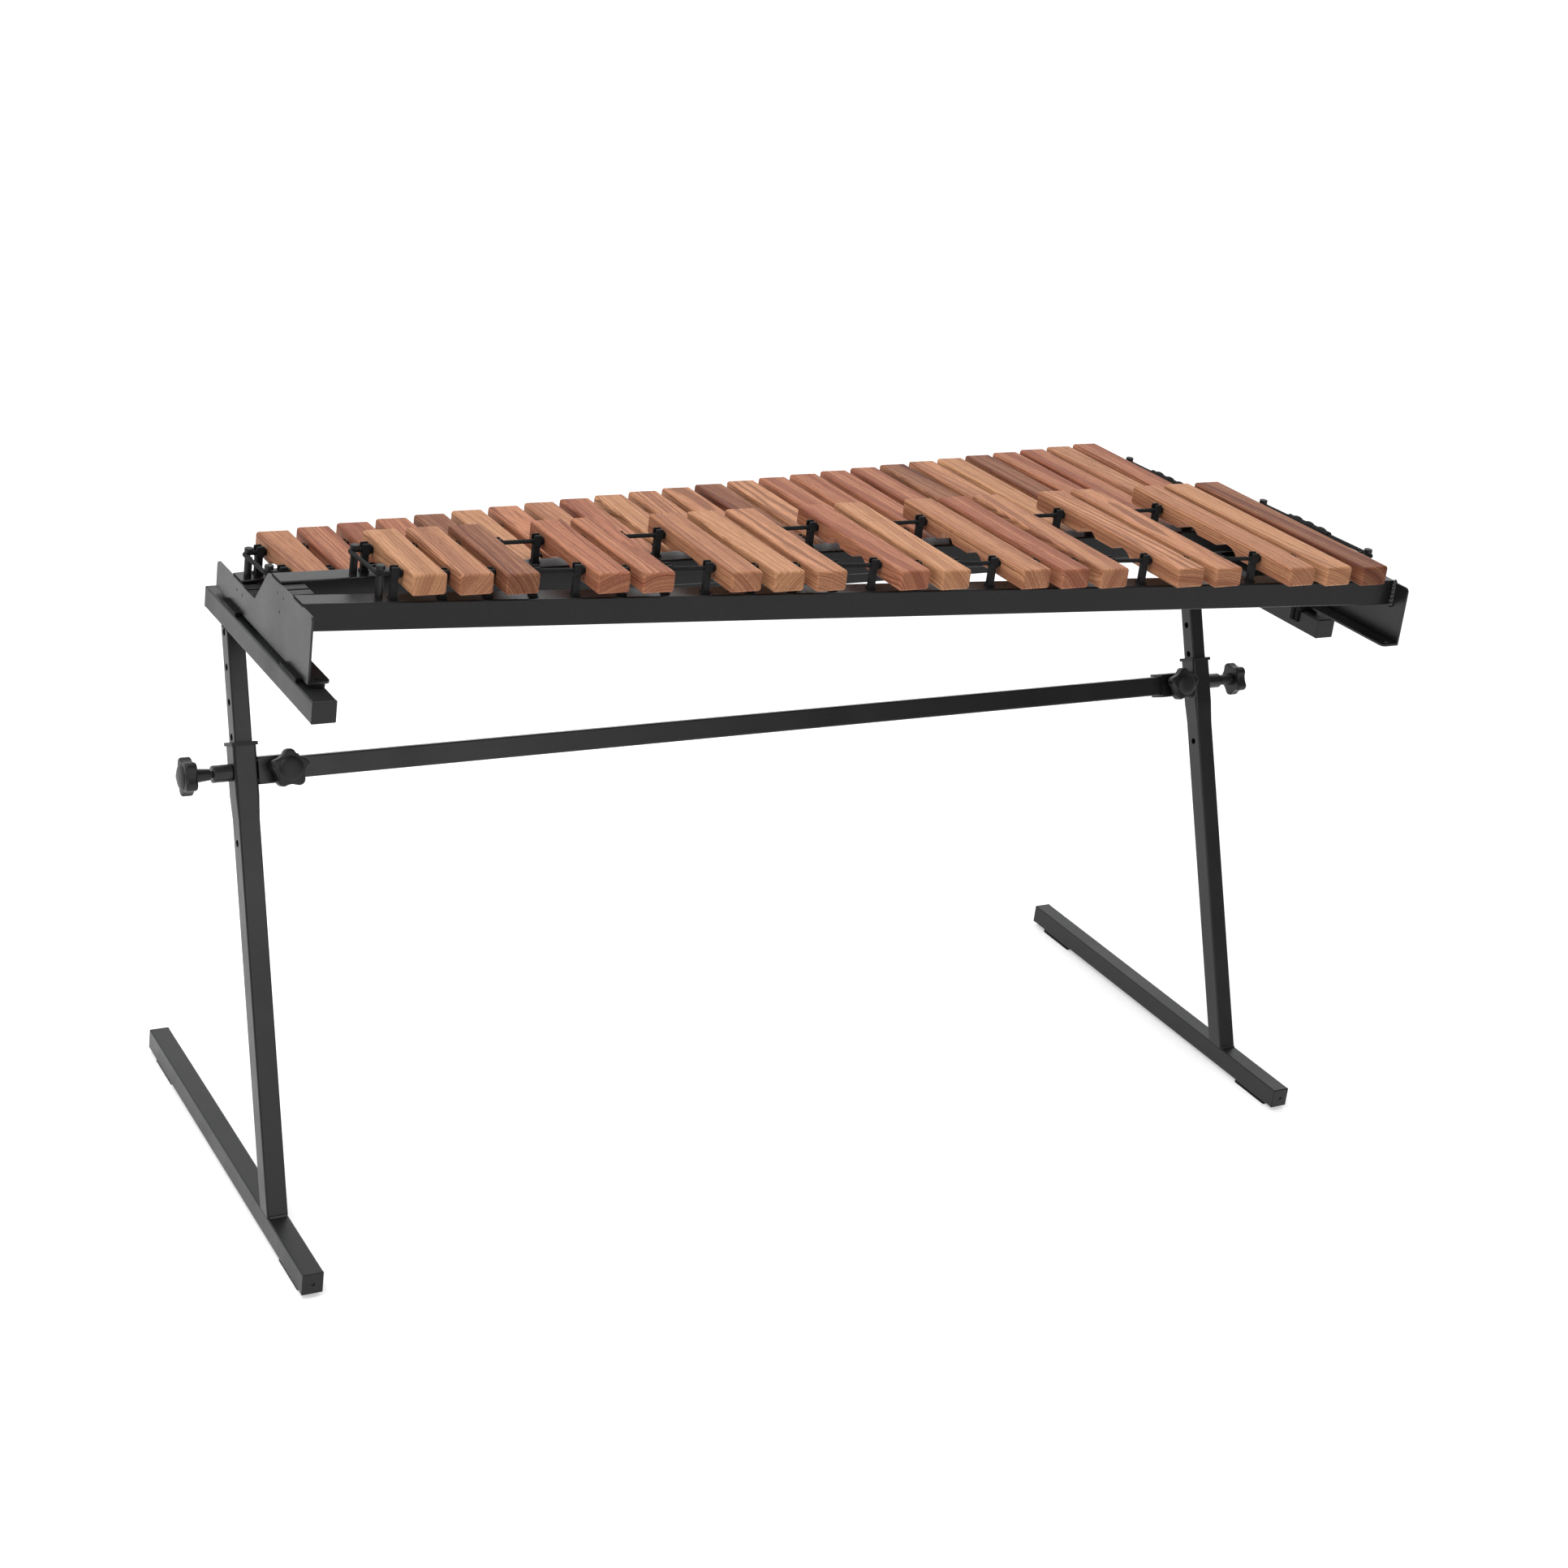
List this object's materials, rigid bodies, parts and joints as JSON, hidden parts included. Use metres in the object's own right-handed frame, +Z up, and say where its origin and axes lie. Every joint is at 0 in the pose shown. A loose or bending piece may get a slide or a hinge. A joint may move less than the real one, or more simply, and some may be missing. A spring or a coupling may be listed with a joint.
{
  "type": "xylophone on stand",
  "caption": "Concert xylophone with two rows of rosewood bars on a tapering tube frame, carried by a height-adjustable black steel stand.",
  "frame": {"origin": "on the floor under the middle of the bounding box", "axes": "+X along the row of bars from the short high bars to the long low bars, +Y from the accidental row's side to the natural row's side, +Z up"},
  "size_m": [1.5206, 0.6632, 0.7965],
  "materials": {
    "powder_coated_steel": "satin black powder coat",
    "black_plastic": "fine matte texture",
    "black_rubber": "matte",
    "post_rubber": "satin",
    "black_cord": "braided",
    "plated_steel": "blackened",
    "rosewood": "oiled satin, straight grain along the bar"
  },
  "bodies": {
    "stand_base": {"foot_left": "powder_coated_steel", "foot_right": "powder_coated_steel", "floor_pads": "black_rubber", "foot_end_caps": "black_plastic", "lower_post_left": "powder_coated_steel", "lower_post_right": "powder_coated_steel", "collar_left": "black_plastic", "collar_right": "black_plastic", "pin_boss_left": "powder_coated_steel", "pin_boss_right": "powder_coated_steel", "post_foot_welds": "powder_coated_steel", "crossbar": "powder_coated_steel", "crossbar_bracket_left": "powder_coated_steel", "crossbar_bracket_right": "powder_coated_steel"},
    "left_upright": {"upper_post_left": "powder_coated_steel", "arm_left": "powder_coated_steel", "arm_end_caps_left": "black_plastic"},
    "right_upright": {"upper_post_right": "powder_coated_steel", "arm_right": "powder_coated_steel", "arm_end_caps_right": "black_plastic"},
    "crossbar_clamp_left": {"crossbar_knob_left": "black_plastic", "crossbar_knob_left_stud": "plated_steel"},
    "height_clamp_left": {"height_knob_left": "black_plastic", "height_knob_left_stud": "plated_steel"},
    "crossbar_clamp_right": {"crossbar_knob_right": "black_plastic", "crossbar_knob_right_stud": "plated_steel"},
    "height_clamp_right": {"height_knob_right": "black_plastic", "height_knob_right_stud": "plated_steel"},
    "instrument": {"end_plate_left": "powder_coated_steel", "saddles_left": "black_rubber", "end_plate_right": "powder_coated_steel", "saddles_right": "black_rubber", "rail_weld": "powder_coated_steel", "accidental_rail_near": "powder_coated_steel", "accidental_rail_far": "powder_coated_steel", "natural_rail_near": "powder_coated_steel", "natural_rail_far": "powder_coated_steel", "lip_foot": "black_rubber", "rail_blocks": "black_plastic", "plate_screws": "plated_steel", "accidental_posts_near": "post_rubber", "accidental_posts_far": "post_rubber", "accidental_end_posts": "black_plastic", "accidental_cord": "black_cord", "accidental_cord_sleeve": "black_rubber", "accidental_bars_octave_1": "rosewood", "accidental_bars_octave_2": "rosewood", "accidental_bars_octave_3": "rosewood", "accidental_bars_octave_4": "rosewood", "natural_posts_near": "post_rubber", "natural_posts_far": "post_rubber", "natural_end_posts": "black_plastic", "natural_cord": "black_cord", "natural_cord_sleeve": "black_rubber", "natural_bars_octave_1": "rosewood", "natural_bars_octave_2": "rosewood", "natural_bars_octave_3": "rosewood", "natural_bars_octave_4": "rosewood", "bar_bumpers": "black_rubber"}
  },
  "joints": [
    {"name": "left_height", "type": "slide", "parent": "stand_base", "child": "left_upright", "axis": [0, 0.3746, 0.9272], "range_m": [-0.12, 0.08]},
    {"name": "right_height", "type": "slide", "parent": "stand_base", "child": "right_upright", "axis": [0, 0.3746, 0.9272], "range_m": [-0.12, 0.08]},
    {"name": "instrument_lift", "type": "slide", "parent": "left_upright", "child": "instrument", "axis": [0, 0, 1], "range_m": [0, 0.06]},
    {"name": "crossbar_knob_turn_left", "type": "hinge", "parent": "stand_base", "child": "crossbar_clamp_left", "pos_m": [-0.639, 0.01282, 0.5037], "axis": [0, -0.9272, 0.3746], "range_deg": [0, 1080]},
    {"name": "height_knob_turn_left", "type": "hinge", "parent": "stand_base", "child": "height_clamp_left", "pos_m": [-0.743, 0.02858, 0.49733], "axis": [-1, 0, 0], "range_deg": [0, 1080]},
    {"name": "crossbar_knob_turn_right", "type": "hinge", "parent": "stand_base", "child": "crossbar_clamp_right", "pos_m": [0.639, 0.01282, 0.5037], "axis": [0, -0.9272, 0.3746], "range_deg": [0, 1080]},
    {"name": "height_knob_turn_right", "type": "hinge", "parent": "stand_base", "child": "height_clamp_right", "pos_m": [0.743, 0.02858, 0.49733], "axis": [1, 0, 0], "range_deg": [0, 1080]}
  ],
  "couplings": [
    {"joint": "right_height", "follows": "left_height", "ratio": 1}
  ]
}
